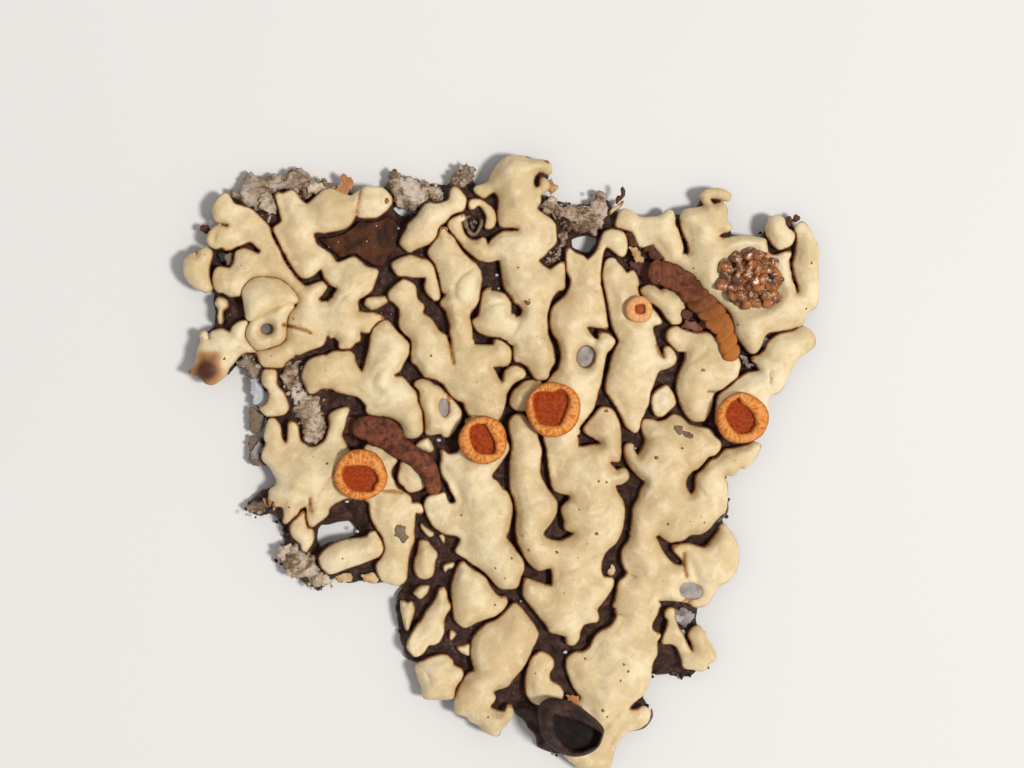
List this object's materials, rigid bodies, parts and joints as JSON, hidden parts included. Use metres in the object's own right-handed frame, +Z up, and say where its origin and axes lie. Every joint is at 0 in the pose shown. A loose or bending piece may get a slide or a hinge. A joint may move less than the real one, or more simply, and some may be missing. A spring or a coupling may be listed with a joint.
{
  "type": "foliose lichen thallus fragment",
  "caption": "Dried flat fragment of a tube lichen: hollow cream lobes on a black lower sheet, orange cups, liverwort shoots and bark scraps along the edge.",
  "frame": {"origin": "centre of the footprint, on the surface that the fragment lies on", "axes": "+Z up out of the cream upper side, +X along the widest edge, from the forked lobes to the edge lobes beside the beaded tuft, +Y from the narrow lower tip to the wide edge"},
  "size_m": [0.0382, 0.037, 0.0037],
  "materials": {
    "cortex": "satin",
    "lower_surface": "gloss",
    "cup": "satin",
    "old_cup": "satin",
    "liverwort": "satin",
    "dry_leaf": "satin",
    "bark": "matte"
  },
  "bodies": {
    "root": {"bark_left": "bark", "bark_lower_left": "bark", "bark_top_left": "bark", "bark_top_middle": "bark", "bark_top_right": "bark", "cup_centre": "cup", "cup_dark": "old_cup", "cup_left": "cup", "cup_middle": "cup", "cup_right": "cup", "cup_small": "cup", "liverwort_sheet": "dry_leaf", "liverwort_shoot_left": "liverwort", "liverwort_shoot_right": "liverwort", "liverwort_tuft": "liverwort", "lobe_arc": "cortex", "lobe_bent": "cortex", "lobe_centre": "cortex", "lobe_centre_low": "cortex", "lobe_centre_right": "cortex", "lobe_cup_side": "cortex", "lobe_far_left": "cortex", "lobe_foot": "cortex", "lobe_heart": "cortex", "lobe_inner_low": "cortex", "lobe_islet_low": "cortex", "lobe_islet_mid": "cortex", "lobe_islet_right": "cortex", "lobe_left_column": "cortex", "lobe_left_fork": "cortex", "lobe_left_hood": "cortex", "lobe_left_low": "cortex", "lobe_left_pierced": "cortex", "lobe_left_tip": "cortex", "lobe_long": "cortex", "lobe_low_left": "cortex", "lobe_low_middle": "cortex", "lobe_low_right": "cortex", "lobe_lower_left": "cortex", "lobe_right_knob": "cortex", "lobe_right_low": "cortex", "lobe_right_lower": "cortex", "lobe_right_mid": "cortex", "lobe_right_of_centre": "cortex", "lobe_ring": "cortex", "lobe_shield": "cortex", "lobe_shoulder": "cortex", "lobe_slant": "cortex", "lobe_small_cup": "cortex", "lobe_tail": "cortex", "lobe_teardrop": "cortex", "lobe_tongue": "cortex", "lobe_top_centre": "cortex", "lobe_top_right_a": "cortex", "lobe_top_right_b": "cortex", "lobe_top_wing": "cortex", "lobe_upper_left": "cortex", "lobe_wing": "cortex", "underside": "lower_surface"}
  },
  "joints": []
}
